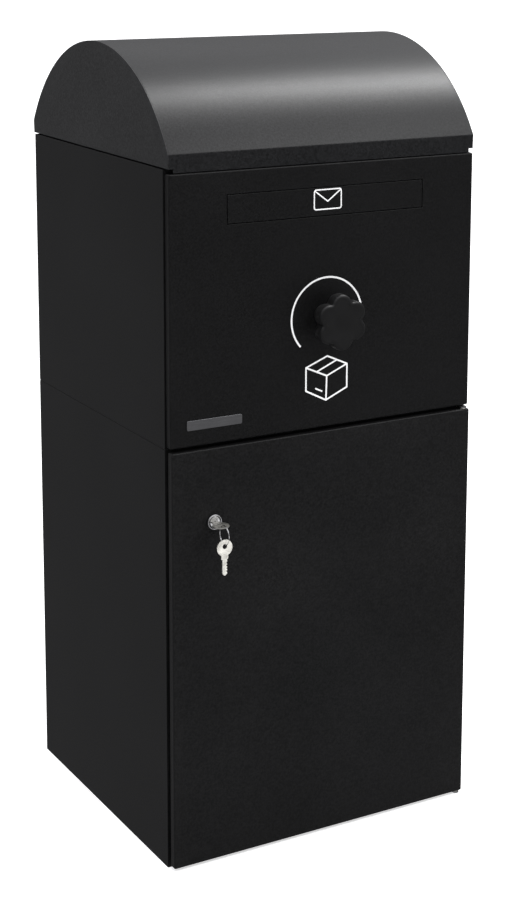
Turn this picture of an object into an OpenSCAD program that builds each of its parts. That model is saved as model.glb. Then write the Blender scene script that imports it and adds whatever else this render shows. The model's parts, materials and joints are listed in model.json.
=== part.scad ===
// Free-standing parcel drop box: lower parcel module with a key-locked door, upper drop module
// with a letter flap and a knob-driven drum, and a barrel-vault hood hinged at the rear.
// Millimetres, +Z up, X to the right seen from the front, the front faces -Y.
// Origin: centre of the body's footprint on the floor.

/* [Body] */
// Outside width of the two stacked modules
body_w = 500; // [480:1:540]
// Depth of the modules, without front panel, door and hinges
body_d = 450; // [440:1:500]
// Height of the lower module, where the seam runs
low_h = 620; // [600:1:680]
// Height of the upper module
up_h = 390; // [385:1:430]
// Thickness of the sheet steel
sheet = 1.5; // [1.2:0.1:1.8]
// Width of the folded flanges
flange_w = 18; // [14:1:22]
// Distance between the floor anchor holes, left to right
anchor_x = 340; // [240:5:360]
// Distance between the floor anchor holes, front to back
anchor_y = 300; // [200:5:320]
// Diameter of a floor anchor hole
anchor_hole_d = 11; // [9:0.5:13]

/* [Hood] */
// Height of the vault above its straight flange
hood_rise = 137; // [120:1:150]
// Height of the straight front and rear flange
hood_flange = 19.5; // [14:0.5:24]
// Gap between the body top and the hood
hood_gap = 1.5; // [1.5:0.5:4]
// How far the front flange reaches down past the end caps
hood_lip = 5.5; // [0:0.5:5.5]
// Overhang of the hood past the body front
hood_front = 13; // [10:1:15]
// Overhang of the hood past the body back
hood_back = 8; // [7:0.5:9]
// Thickness of the curved hood sheet
hood_sheet = 2; // [1.5:0.1:2.2]

/* [Front panel and letter flap] */
// How far the upper panel stands in front of the body
panel_proud = 14; // [13:0.5:16]
// Open gap between the panel's rear edge and the body
panel_gap = 2.5; // [2:0.5:5]
// Width of the letter slot
slot_w = 320; // [280:1:330]
// Height of the letter slot
slot_h = 42; // [38:1:46]
// Height of the slot's lower edge above the upper module's base
slot_up = 310; // [305:1:312]
// Clearance around the letter flap
flap_gap = 1; // [0.8:0.1:1.5]

/* [Knob and drum] */
// Height of the knob and drum axis above the upper module's base
axis_up = 164; // [160:1:168]
// Outside radius of the knob over its lobes
knob_r = 40.5; // [34:0.5:42]
// Number of lobes on the knob
knob_lobes = 6; // [5:1:8]
// Distance from the panel to the knob's face
knob_out = 46; // [36:1:48]
// Outside radius of the drum
drum_r = 212; // [200:1:214]
// Radius of the drum's shaft
shaft_r = 8; // [7:0.5:9]

/* [Door] */
// How far the door stands in front of the body
door_proud = 18; // [17:0.5:20]
// Open gap between the door's rear edge and the body
door_gap = 6; // [6:0.5:7]
// Gap under the door
door_under = 4; // [4:0.5:6]
// Gap above the door, below the seam
door_over = 2; // [2:0.1:2.4]

/* [Lock and keys] */
// Distance of the lock from the box's centre line
lock_x = 184; // [180:1:186]
// Height of the lock above the floor
lock_z = 512; // [440:1:540]
// Radius of the lock's round head
lock_head_r = 11.4; // [11:0.1:13]
// How far the lock's head stands out of the door
lock_out = 5; // [4:0.5:7]
// Length of a key
key_len = 52; // [48:1:55]

/* [Hidden] */
eps = 0.01;
run_gap = 0.05;               // radial clearance of a shaft in its bearing
hw = body_w / 2;
F = -body_d / 2;              // body front plane
B = body_d / 2;               // body back plane
top_z = low_h + up_h;
inner_w = hw - sheet;
lip_x = hw - flange_w;        // inner edge of the side panels' front flange
ledge = 20;                   // depth of the inward flanges that the modules bolt through
ledge_x = hw - 22;            // where the front and back ledges end
back_lip = 15;
base_t = 2;
sill_h = 30;
mat_t = 3;
bolt_r = 3;
panel_x = hw - 2;             // half width of the front panel and the door
panel_z0 = low_h + 3;
panel_z1 = top_z - 5;
panel_y = F - panel_proud;    // panel's front face
slot_z0 = low_h + slot_up;
slot_z1 = slot_z0 + slot_h;
axis_z = low_h + axis_up;
chute_x = 190;
chute_y = F + 45;             // front face of the chute's back plate
chute_z0 = low_h + 20;
chute_z1 = top_z - 10;
drum_y0 = F + 60;
drum_y1 = B - 20;
end_t = 2;
hub_r = 30;
hub_t = 6;
door_y = F - door_proud;      // door's front face
door_z0 = door_under;
door_z1 = low_h - door_over;
door_back = F - door_gap;
pivot_x = hw - 10;
pivot_y = F - 12;
pivot_r = 2.5;
bush_r = 4.2;
neck_x = hw - 14;
neck_y = body_d / 2 - 12;
neck_h = 18;
seal_h = 4;
hood_x = hw - 1.5;            // half width over the end caps
hood_z0 = top_z + hood_gap;
hood_z1 = hood_z0 + hood_flange;
hood_y0 = F - hood_front;
hood_y1 = B + hood_back;
hood_half = (hood_y1 - hood_y0) / 2;
hood_r = (hood_half * hood_half + hood_rise * hood_rise) / (2 * hood_rise);
hood_cy = (hood_y0 + hood_y1) / 2;
hood_cz = hood_z1 + hood_rise - hood_r;
hinge_y = hood_y1 + 5.5;
hinge_z = top_z - 2;
hinge_xs = [-150, 150];
hinge_half = 30;
knuckle_r = 5;
hinge_pin_r = 2.5;
flap_pin_r = 1.5;
flap_axis_y = panel_y + 4;
flap_axis_z = slot_z1 - 4;
key_t = 2;
key_bow_w = 24;
key_bow_l = 22.5;
key_shoulder_l = 6;
key_shoulder_w = 11;
key_blade_w = 7.5;
key_blade_l = key_len - key_bow_l - key_shoulder_l;
key_hole_r = 3.4;
key_hole_in = 10;             // from the bow's outer edge to the hole's centre
ring_r = 14.5;
ring_wire = 1.5;
bow_y = door_y - lock_out - key_shoulder_l - key_bow_l;  // outer edge of the inserted key
ring_mid = ring_r - ring_wire / 2;
ring_y = bow_y + 1.1;
ring_z = lock_z - 10.5;
wire_z = ring_z - ring_mid;   // ring's lowest point, where the spare key hangs
spare_hole_z = wire_z + ring_wire / 2 + 0.3 - key_hole_r;
cam_y = F + 5;
cam_t = 2.5;
fine = 96;

black = [0.11, 0.11, 0.115];
hood_black = [0.16, 0.16, 0.165];
zinc = [0.62, 0.63, 0.65];
rubber = [0.05, 0.05, 0.05];
nylon = [0.85, 0.84, 0.8];
bright = [0.82, 0.83, 0.85];
nickel = [0.74, 0.72, 0.66];

// ---------- helpers ----------

module bx(x0, x1, y0, y1, z0, z1) {
  translate([x0, y0, z0]) cube([x1 - x0, y1 - y0, z1 - z0]);
}

module rod_x(x0, x1, y, z, r) {
  translate([x0, y, z]) rotate([0, 90, 0]) cylinder(r = r, h = x1 - x0, $fn = fine);
}

module rod_y(x, y0, y1, z, r) {
  translate([x, y1, z]) rotate([90, 0, 0]) cylinder(r = r, h = y1 - y0, $fn = fine);
}

module rod_z(x, y, z0, z1, r) {
  translate([x, y, z0]) cylinder(r = r, h = z1 - z0, $fn = fine);
}

module both_sides() {
  children();
  mirror([1, 0, 0]) children();
}

// A hexagon prism along Y
module hex_y(x, y0, y1, z, r) {
  translate([x, y1, z]) rotate([90, 0, 0]) cylinder(r = r, h = y1 - y0, $fn = 6);
}

// A rivet head that stands on a face at y and points to -Y or +Y
module rivet_y(x, y, z, dir, r = 4) {
  translate([x, y, z]) rotate([dir > 0 ? -90 : 90, 0, 0])
    cylinder(r1 = r, r2 = r * 0.6, h = r * 0.4, $fn = fine);
}

// A tray: a flat face with four folded edges behind it
module pan_y(x0, x1, y0, y1, z0, z1, t) {
  difference() {
    bx(x0, x1, y0, y1, z0, z1);
    bx(x0 + t, x1 - t, y0 + t, y1 + 1, z0 + t, z1 - t);
  }
}

// A flat ring of rectangular section
module frame_z(x, y0, y1, z0, z1, w) {
  difference() {
    bx(-x, x, y0, y1, z0, z1);
    bx(-x + w, x - w, y0 + w, y1 - w, z0 - 1, z1 + 1);
  }
}

// ---------- where the modules are bolted together ----------

function bolt_spots() = [
  for (sx = [-1, 1], y = [-120, 120]) [sx * (hw - 11), y],
  for (sx = [-1, 1]) [sx * 110, F + 11],
  for (sx = [-1, 1]) [sx * 110, B - 9]];

module bolt_holes() {
  for (p = bolt_spots()) rod_z(p[0], p[1], low_h - 3, low_h + 3, bolt_r + 0.2);
}

// ---------- lower module ----------

module base_plate() {
  rim_h = 25;
  color(black) difference() {
    union() {
      bx(-inner_w, inner_w, F, B - sheet, 0, base_t);
      bx(-inner_w, inner_w, F, F + sheet, 0, sill_h);
      both_sides() bx(-inner_w, -inner_w + sheet, F, B - ledge, 0, rim_h);
      bx(-ledge_x, ledge_x, B - 2 * sheet, B - sheet, 0, rim_h);
    }
    for (sx = [-1, 1], sy = [-1, 1])
      rod_z(sx * anchor_x / 2, sy * anchor_y / 2, -1, base_t + 1, anchor_hole_d / 2);
  }
}

module floor_mat() {
  color(rubber) difference() {
    bx(-inner_w + 6, inner_w - 6, F + 8, B - 24, base_t, base_t + mat_t);
    for (sx = [-1, 1], sy = [-1, 1])
      rod_z(sx * anchor_x / 2, sy * anchor_y / 2, 0, base_t + mat_t + 1, 14);
    // Ribs that run front to back are left between these grooves
    for (i = [-11:11])
      bx(i * 20 - 2, i * 20 + 2, F + 14, B - 30, base_t + mat_t - 1, base_t + mat_t + 1);
  }
}

// One side wall with its folded front edge and the ledge that is bolted to the other module
module side_wall(z0, z1, front_z0, front_z1, ledge_z) {
  bx(-hw, -inner_w, F, B, z0, z1);
  bx(-inner_w - eps, -lip_x, F, F + sheet, front_z0, front_z1);
  bx(-inner_w - eps, -hw + ledge, F + sheet, B - ledge, ledge_z, ledge_z + sheet);
}

module lower_side() {
  difference() {
    side_wall(0, low_h, sill_h, low_h, low_h - sheet);
    bolt_holes();
  }
}

module lower_side_left() { color(black) lower_side(); }
module lower_side_right() { color(black) mirror([1, 0, 0]) lower_side(); }

// A back wall with side lips and a ledge
module back_wall(z0, z1, ledge_z) {
  bx(-inner_w, inner_w, B - sheet, B, z0, z1);
  both_sides()
    bx(-inner_w, -inner_w + sheet, B - back_lip, B - sheet + eps, z0 + 4, z1 - 4);
  bx(-ledge_x, ledge_x, B - back_lip, B - sheet + eps, ledge_z, ledge_z + sheet);
}

module lower_back() {
  color(black) difference() {
    back_wall(0, low_h, low_h - sheet);
    bolt_holes();
  }
}

// Cross member over the door opening
module lower_header() {
  header_h = 30;
  color(black) difference() {
    union() {
      bx(-lip_x, lip_x, F, F + sheet, low_h - header_h, low_h);
      bx(-ledge_x, ledge_x, F + sheet - eps, F + ledge, low_h - sheet, low_h);
    }
    bolt_holes();
  }
}

// Weather strip around the door opening
module door_seal() {
  strip_w = 8;
  strip_t = 3;
  strip_x = lip_x + 2;
  color(rubber) difference() {
    bx(-strip_x, strip_x, F - strip_t, F, 16, low_h - 14);
    bx(-strip_x + strip_w, strip_x - strip_w, F - strip_t - 1, F + 1,
       16 + strip_w, low_h - 14 - strip_w);
  }
}

// Upper and lower pivot: a tab on the body's front flange, a shelf over or under the door, a pin
module pivot(shelf_z0, pin_z0, pin_z1, tab_z0, tab_z1) {
  shelf_t = 2;
  bx(pivot_x - 5.5, pivot_x + 5.5, pivot_y, F, shelf_z0, shelf_z0 + shelf_t);
  rod_z(pivot_x, pivot_y, shelf_z0, shelf_z0 + shelf_t, 5.5);
  rod_z(pivot_x, pivot_y, pin_z0, pin_z1, pivot_r);
  bx(pivot_x - 1, hw - 2, F - sheet, F, tab_z0, tab_z1);
}

module door_pivots() {
  color(zinc) {
    pivot(low_h - 1, low_h - 14, low_h, low_h - 30, low_h + 1);
    pivot(door_z0 - 3, door_z0 - 2, door_z0 + 10, door_z0 - 3, sill_h);
  }
}

// Plate behind the left front flange that the lock's cam turns behind
module lock_strike() {
  color(zinc) {
    bx(-inner_w, -lip_x + 10, F + sheet, F + sheet + 2, lock_z - 26, lock_z + 26);
    for (dz = [-19, 19]) rivet_y(-inner_w + 9, F + sheet + 2, lock_z + dz, 1, 3);
  }
}

// ---------- upper module ----------

module upper_side() {
  difference() {
    union() {
      side_wall(low_h, top_z, low_h, top_z - sheet, low_h);
      bx(-inner_w - eps, -hw + ledge, F, B - ledge, top_z - sheet, top_z);
    }
    bolt_holes();
  }
}

module upper_side_left() { color(black) upper_side(); }
module upper_side_right() { color(black) mirror([1, 0, 0]) upper_side(); }

module upper_back() {
  color(black) difference() {
    union() {
      back_wall(low_h, top_z, low_h);
      bx(-ledge_x, ledge_x, B - back_lip, B - sheet + eps, top_z - sheet, top_z);
    }
    bolt_holes();
  }
}

// Front wall of the upper module, behind the panel
module upper_inner_wall() {
  slot_extra = 6;
  color(black) difference() {
    union() {
      bx(-lip_x, lip_x, F, F + sheet, low_h, top_z);
      bx(-ledge_x, ledge_x, F + sheet - eps, F + ledge, low_h, low_h + sheet);
    }
    bx(-slot_w / 2 - slot_extra, slot_w / 2 + slot_extra, F - 1, F + 3,
       slot_z0 - slot_extra, slot_z1 + slot_extra);
    rod_y(0, F - 1, F + 3, axis_z, 12);
    bolt_holes();
  }
}

module module_bolts() {
  color(zinc) for (p = bolt_spots()) {
    rod_z(p[0], p[1], low_h - 12, low_h + sheet + eps, bolt_r);
    translate([p[0], p[1], low_h + sheet]) cylinder(r = 5.8, h = 4, $fn = 6);
    translate([p[0], p[1], low_h - sheet - 5]) cylinder(r = 5.8, h = 5, $fn = 6);
  }
}

// ---------- front panel and letter flap ----------

module front_panel() {
  color(black) difference() {
    pan_y(-panel_x, panel_x, panel_y, F - panel_gap, panel_z0, panel_z1, sheet);
    bx(-slot_w / 2, slot_w / 2, panel_y - 1, F, slot_z0, slot_z1);
    rod_y(0, panel_y - 1, F, axis_z, 12);
  }
}

module panel_standoffs() {
  stand_x = panel_x - 22;
  color(zinc) for (sx = [-1, 1], z = [panel_z0 + 22, (panel_z0 + panel_z1) / 2, panel_z1 - 18])
    rod_y(sx * stand_x, panel_y + sheet, F, z, 5);
}

// Plain bush that closes the panel's hole around the shaft
module panel_bush() {
  color(nylon) difference() {
    union() {
      rod_y(0, panel_y, F + sheet, axis_z, 12);
      rod_y(0, panel_y - 1.2, panel_y + eps, axis_z, 15);
    }
    rod_y(0, panel_y - 3, F + 3, axis_z, shaft_r + run_gap);
  }
}

module letter_flap() {
  flap_t = 2;
  barrel_r = 2.8;
  flap_x = slot_w / 2 - flap_gap;
  color(black) difference() {
    union() {
      bx(-flap_x, flap_x, panel_y, panel_y + flap_t, slot_z0 + flap_gap, slot_z1 - flap_gap);
      // Stiffening fold along the lower edge
      bx(-flap_x + 2, flap_x - 2, panel_y + flap_t - eps, panel_y + 6,
         slot_z0 + flap_gap, slot_z0 + flap_gap + sheet);
      for (x = [-140, 0, 140]) rod_x(x - 10, x + 10, flap_axis_y, flap_axis_z, barrel_r);
    }
    rod_x(-flap_x, flap_x, flap_axis_y, flap_axis_z, flap_pin_r + run_gap);
  }
}

module flap_pin() {
  pin_x = slot_w / 2 + 5;
  color(zinc) rod_x(-pin_x, pin_x, flap_axis_y, flap_axis_z, flap_pin_r);
}

module flap_brackets() {
  x0 = slot_w / 2 + 1.5;
  color(zinc) both_sides() difference() {
    union() {
      bx(x0, x0 + 2.5, panel_y + sheet, F - panel_gap, slot_z1 - 14, slot_z1 + 10);
      bx(x0, x0 + 14, panel_y + sheet, panel_y + 2 * sheet, slot_z1 - 14, slot_z1 + 10);
    }
    rod_x(x0 - 1, x0 + 4, flap_axis_y, flap_axis_z, flap_pin_r);
  }
}

// Channel behind the slot that leads letters past the drum to the lower module
module letter_chute() {
  color(zinc) difference() {
    union() {
      bx(-chute_x, chute_x, chute_y, chute_y + sheet, chute_z0, chute_z1);
      both_sides()
        bx(-chute_x, -chute_x + sheet, F + sheet, chute_y + eps, chute_z0, chute_z1);
      bx(-chute_x, chute_x, F + sheet, chute_y + eps, chute_z1 - sheet, chute_z1);
    }
    rod_y(0, chute_y - 1, chute_y + 3, axis_z, 12);
  }
}

// Small roof that turns letters away from the shaft's sleeve
module letter_deflector() {
  color(zinc) translate([0, chute_y, axis_z]) rotate([90, 0, 0])
    linear_extrude(height = chute_y - F - sheet)
      polygon([[0, 38], [34, -20], [32, -20], [0, 34.5], [-32, -20], [-34, -20]]);
}

module shaft_sleeve() {
  color(zinc) difference() {
    rod_y(0, F + sheet, chute_y - 3, axis_z, 12);
    rod_y(0, F, chute_y, axis_z, 9.5);
  }
}

module front_bearing() {
  color(nylon) difference() {
    union() {
      rod_y(0, chute_y - 3, chute_y + sheet + 1, axis_z, 12);
      rod_y(0, chute_y + sheet, chute_y + sheet + 3, axis_z, 18);
    }
    rod_y(0, chute_y - 4, chute_y + 8, axis_z, shaft_r + run_gap);
  }
}

module rear_bearing() {
  plate_y = B - sheet;
  color(zinc) difference() {
    union() {
      rod_y(0, plate_y - 4, plate_y, axis_z, hub_r);
      rod_y(0, plate_y - 10, plate_y - 4 + eps, axis_z, 14);
    }
    rod_y(0, plate_y - 11, plate_y + 1, axis_z, shaft_r + run_gap);
  }
}

// Two rubber stops on the chute that the drum's lug meets at either end of its turn
stop_arm = 100;
lug_r = 5;
stop_r = 8;
module drum_stops() {
  color(rubber) both_sides()
    rod_y(-stop_arm, chute_y + sheet, drum_y0 - 2, axis_z - lug_r - stop_r - 0.5, stop_r);
}

// Upright plates on both sides of the drum that keep parcels over the trough
module hopper_baffle() {
  plate_x = drum_r + 6;
  color(zinc) {
    bx(-plate_x - sheet, -plate_x, drum_y0, drum_y1, axis_z - 50, top_z - sheet);
    bx(-plate_x - 22, -plate_x - sheet + eps, drum_y0, drum_y1,
       top_z - 2 * sheet, top_z - sheet);
  }
}

module hopper_baffle_left() { hopper_baffle(); }
module hopper_baffle_right() { mirror([1, 0, 0]) hopper_baffle(); }

// Raised collar around the mouth, inset under the hood
module top_neck() {
  color(black) {
    frame_z(neck_x, -neck_y, neck_y, top_z, top_z + neck_h, sheet);
    // Foot that is spot-welded to the body's top flanges
    frame_z(neck_x - eps, -neck_y + eps, neck_y - eps, top_z, top_z + sheet, 7);
  }
}

module rim_seal() {
  seal_w = 5;
  color(rubber)
    frame_z(neck_x + 1.5, -neck_y - 1.5, neck_y + 1.5, top_z + neck_h,
            top_z + neck_h + seal_h, seal_w);
}

// ---------- hood ----------

module hood_barrel(x0, x1, r) {
  translate([x0, hood_cy, hood_cz]) rotate([0, 90, 0])
    cylinder(r = r, h = x1 - x0, $fn = 200);
}

module hood_shell() {
  x = hood_x - sheet;
  clip = 9;
  color(hood_black) {
    difference() {
      hood_barrel(-x, x, hood_r);
      hood_barrel(-x - 1, x + 1, hood_r - hood_sheet);
      bx(-x - 1, x + 1, -2 * hood_r, 2 * hood_r, hood_cz - hood_r - 1, hood_z1);
    }
    // The front flange hangs lower than the caps, with its corners clipped
    translate([0, hood_y0 + hood_sheet, 0]) rotate([90, 0, 0])
      linear_extrude(height = hood_sheet)
        polygon([[-x, hood_z1], [-x, hood_z0], [-x + clip, hood_z0 - hood_lip],
                 [x - clip, hood_z0 - hood_lip], [x, hood_z0], [x, hood_z1]]);
    bx(-x, x, hood_y1 - hood_sheet, hood_y1, hood_z0, hood_z1);
  }
}

module hood_cap() {
  color(hood_black) {
    difference() {
      hood_barrel(-hood_x, -hood_x + sheet, hood_r);
      bx(-hood_x - 1, hood_x, -2 * hood_r, 2 * hood_r, hood_cz - hood_r - 1, hood_z1);
    }
    bx(-hood_x, -hood_x + sheet, hood_y0, hood_y1, hood_z0, hood_z1);
  }
}

module hood_cap_left() { hood_cap(); }
module hood_cap_right() { mirror([1, 0, 0]) hood_cap(); }

// Stiffening frame inside the hood that closes on the neck's seal
module hood_frame() {
  z0 = top_z + neck_h + seal_h + 0.3;
  z1 = z0 + sheet;
  r = hood_r - hood_sheet;
  half = sqrt(r * r - (z1 - hood_cz) * (z1 - hood_cz)) - 0.02;
  color(hood_black)
    frame_z(hood_x - sheet, hood_cy - half, hood_cy + half, z0, z1, 24);
}

module hood_hinge_leaves() {
  mid = 11.7;
  color(black) for (c = hinge_xs) difference() {
    union() {
      bx(c - hinge_half, c + hinge_half, hood_y1, hood_y1 + 2.5, hood_z0 + 2, hood_z1 - 1);
      bx(c - mid, c + mid, hood_y1, hood_y1 + 2.5, hinge_z, hood_z0 + 2 + eps);
      rod_x(c - mid, c + mid, hinge_y, hinge_z, knuckle_r);
    }
    rod_x(c - mid - 1, c + mid + 1, hinge_y, hinge_z, hinge_pin_r + run_gap);
  }
}

module hinge_brackets() {
  shelf_z = hinge_z - 7;
  leaf_h = 42;
  inner = 12;
  color(black) for (c = hinge_xs) difference() {
    union() {
      bx(c - hinge_half, c + hinge_half, B, B + 2.5, shelf_z - leaf_h, shelf_z + 2.5);
      bx(c - hinge_half, c + hinge_half, B, hinge_y + 2, shelf_z, shelf_z + 2.5);
      for (s = [-1, 1])
        rod_x(c + (s < 0 ? -hinge_half : inner), c + (s < 0 ? -inner : hinge_half),
              hinge_y, hinge_z, knuckle_r);
    }
    bx(c - inner, c + inner, B + 6, hinge_y + knuckle_r, shelf_z - 1, hinge_z + knuckle_r);
    rod_x(c - hinge_half - 1, c + hinge_half + 1, hinge_y, hinge_z, hinge_pin_r);
  }
}

module hinge_pins() {
  color(zinc) for (c = hinge_xs)
    rod_x(c - hinge_half, c + hinge_half, hinge_y, hinge_z, hinge_pin_r);
}

module hinge_rivets() {
  color(zinc) for (c = hinge_xs, dx = [-20, 20], dz = [18, 36])
    rivet_y(c + dx, B + 2.5, hinge_z - dz, 1);
}

// ---------- knob, shaft and drum ----------

module knob() {
  face_y = panel_y - knob_out;
  head_t = 25;
  lobe_r = 16;
  color(rubber) difference() {
    union() {
      rod_y(0, face_y, face_y + head_t, axis_z, knob_r - 8);
      for (i = [0:knob_lobes - 1]) {
        a = i * 360 / knob_lobes + 32;
        rod_y((knob_r - lobe_r) * cos(a), face_y, face_y + head_t,
              axis_z + (knob_r - lobe_r) * sin(a), lobe_r);
      }
      rod_y(0, face_y + head_t - eps, panel_y - 2, axis_z, 19);
    }
    rod_y(0, face_y + 10, panel_y, axis_z, shaft_r);
  }
}

module knob_shaft() {
  color(zinc) rod_y(0, panel_y - knob_out + 10, drum_y0, axis_z, shaft_r);
}

module rear_shaft() {
  color(zinc) rod_y(0, drum_y1, B - sheet - 1, axis_z, shaft_r);
}

module drum_hubs() {
  color(zinc) {
    difference() {
      rod_y(0, drum_y0 - hub_t, drum_y0, axis_z, hub_r);
      rod_y(0, drum_y0 - hub_t - 1, drum_y0 + 1, axis_z, shaft_r);
    }
    difference() {
      rod_y(0, drum_y1, drum_y1 + hub_t, axis_z, hub_r);
      rod_y(0, drum_y1 - 1, drum_y1 + hub_t + 1, axis_z, shaft_r);
    }
  }
}

module hub_rivets() {
  color(zinc) for (i = [0:3]) {
    a = 45 + i * 90;
    rivet_y(21 * cos(a), drum_y0 - hub_t, axis_z + 21 * sin(a), -1, 3.5);
    rivet_y(21 * cos(a), drum_y1 + hub_t, axis_z + 21 * sin(a), 1, 3.5);
  }
}

// The front end disc carries the lug that meets the stops
module drum_end_front() {
  color(zinc) {
    rod_y(0, drum_y0, drum_y0 + end_t, axis_z, drum_r);
    rod_y(-stop_arm, drum_y0 - 8, drum_y0 + eps, axis_z, lug_r);
  }
}

module drum_end_rear() {
  color(zinc) rod_y(0, drum_y1 - end_t, drum_y1, axis_z, drum_r);
}

// Half-round trough that holds the parcel and tips it out when the knob is turned
module drum_trough() {
  y0 = drum_y0 + end_t;
  y1 = drum_y1 - end_t;
  color(zinc) difference() {
    rod_y(0, y0, y1, axis_z, drum_r);
    rod_y(0, y0 - 1, y1 + 1, axis_z, drum_r - sheet);
    bx(-drum_r - 1, drum_r + 1, y0 - 1, y1 + 1, axis_z, axis_z + drum_r + 1);
  }
}

// ---------- door ----------

module door_pan() {
  color(black) difference() {
    pan_y(-panel_x, panel_x, door_y, door_back, door_z0, door_z1, sheet);
    rod_y(-lock_x, door_y - 1, door_back, lock_z, 9.5);
    rod_z(pivot_x, pivot_y, door_z0 - 1, door_z0 + sheet + 1, bush_r);
    rod_z(pivot_x, pivot_y, door_z1 - sheet - 1, door_z1 + 1, bush_r);
  }
}

// Hollow frame of folded channel behind the door's face
module door_stiffener() {
  y0 = door_y + sheet;
  y1 = F - 8;
  x = hw - 25;
  z0 = 30;
  z1 = low_h - 28;
  w = 24;
  color(zinc) difference() {
    bx(-x, x, y0, y1, z0, z1);
    bx(-x + w, x - w, y0 - 1, y1 + 1, z0 + w, z1 - w);
    difference() {
      bx(-x + sheet, x - sheet, y0 - 1, y1 - sheet, z0 + sheet, z1 - sheet);
      bx(-x + w - sheet, x - w + sheet, y0 - 2, y1 + 1, z0 + w - sheet, z1 - w + sheet);
    }
  }
}

module door_bushes() {
  color(nylon) difference() {
    union() {
      rod_z(pivot_x, pivot_y, door_z1 - 12, door_z1 + 0.6, bush_r);
      rod_z(pivot_x, pivot_y, door_z0 - 0.6, door_z0 + 12, bush_r);
    }
    rod_z(pivot_x, pivot_y, 0, top_z, pivot_r + run_gap);
  }
}

// ---------- lock and keys ----------

module lock_housing() {
  color(bright) difference() {
    union() {
      rod_y(-lock_x, door_y - lock_out + 2, door_y, lock_z, lock_head_r);
      translate([-lock_x, door_y - lock_out + 2 + eps, lock_z]) rotate([90, 0, 0])
        cylinder(r1 = lock_head_r, r2 = lock_head_r - 1.6, h = 1.8, $fn = fine);
      rod_y(-lock_x, door_y - eps, F + 3, lock_z, 9.5);
    }
    rod_y(-lock_x, door_y - lock_out - 1, F + 5, lock_z, 8.5 + run_gap);
  }
}

module lock_nut() {
  color(zinc) difference() {
    hex_y(-lock_x, door_y + sheet, door_y + sheet + 4, lock_z, 14);
    rod_y(-lock_x, door_y, F, lock_z, 9.5);
  }
}

module lock_plug() {
  color(bright) difference() {
    union() {
      rod_y(-lock_x, door_y - lock_out, cam_y - 0.5, lock_z, 8.5);
      bx(-lock_x - 3.5, -lock_x + 3.5, cam_y - 1, cam_y + cam_t, lock_z - 3.5, lock_z + 3.5);
    }
    bx(-lock_x - key_blade_w / 2 - 0.1, -lock_x + key_blade_w / 2 + 0.1,
       door_y - lock_out - 1, door_y - lock_out + key_blade_l + 0.5,
       lock_z - key_t / 2 - 0.1, lock_z + key_t / 2 + 0.1);
  }
}

module lock_cam() {
  arm = 47;
  color(zinc) difference() {
    union() {
      rod_y(-lock_x, cam_y, cam_y + cam_t, lock_z, 9);
      bx(-lock_x - 8, -lock_x + 8, cam_y, cam_y + cam_t, lock_z - arm, lock_z);
      rod_y(-lock_x, cam_y, cam_y + cam_t, lock_z - arm, 8);
    }
    bx(-lock_x - 3.5, -lock_x + 3.5, cam_y - 1, cam_y + cam_t + 1, lock_z - 3.5, lock_z + 3.5);
  }
}

module cam_screw() {
  color(zinc) {
    rod_y(-lock_x, cam_y + cam_t, cam_y + cam_t + 1.2, lock_z, 8);
    hex_y(-lock_x, cam_y + cam_t + 1.2 - eps, cam_y + cam_t + 5, lock_z, 5);
  }
}

// A flat key that hangs along -Z in the XZ plane, its bow's outer edge at z = 0
module flat_key() {
  bow_r = key_bow_w / 2;
  neck_z = -bow_r - 5;
  h = key_t / 2;
  tip = 2.5;
  difference() {
    union() {
      rod_y(0, -h, h, -bow_r, bow_r);
      translate([0, h, 0]) rotate([90, 0, 0]) linear_extrude(height = key_t)
        polygon([[-bow_r * 0.91, neck_z], [bow_r * 0.91, neck_z],
                 [key_shoulder_w / 2, -key_bow_l], [-key_shoulder_w / 2, -key_bow_l]]);
      bx(-key_shoulder_w / 2, key_shoulder_w / 2, -h, h,
         -key_bow_l - key_shoulder_l, -key_bow_l + 1);
      bx(-key_blade_w / 2, key_blade_w / 2, -h, h, -key_len + tip,
         -key_bow_l - key_shoulder_l + 1);
      translate([0, h, 0]) rotate([90, 0, 0]) linear_extrude(height = key_t)
        polygon([[-key_blade_w / 2, -key_len + tip + 1], [key_blade_w / 2, -key_len + tip + 1],
                 [key_blade_w / 2, -key_len + tip], [1, -key_len], [-1, -key_len],
                 [-key_blade_w / 2, -key_len + tip]]);
    }
    rod_y(0, -key_t, key_t, -key_hole_in, key_hole_r);
    // Groove milled along the blade
    bx(-1, 1, h - 0.5, key_t, -key_len + 4, -key_bow_l - key_shoulder_l);
    // Bitting along one edge of the blade
    for (i = [0:3])
      bx(key_blade_w / 2 - 1.2 + 0.25 * (i % 2), key_bow_w, -key_t, key_t,
         -key_len + 5 + 4 * i, -key_len + 7 + 4 * i);
  }
}

// The inserted key lies flat: its blade is in the plug and its bow points out of the lock
module key() {
  color(nickel) translate([-lock_x, bow_y, lock_z]) rotate([90, 0, 0]) flat_key();
}

module key_ring() {
  color(bright) translate([-lock_x, ring_y, ring_z]) rotate([0, 90, 0])
    rotate_extrude($fn = fine) translate([ring_mid, 0]) circle(r = ring_wire / 2, $fn = 32);
}

module spare_key() {
  color(nickel) translate([-lock_x, ring_y, spare_hole_z + key_hole_in]) flat_key();
}

// ---------- assembly ----------

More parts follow.
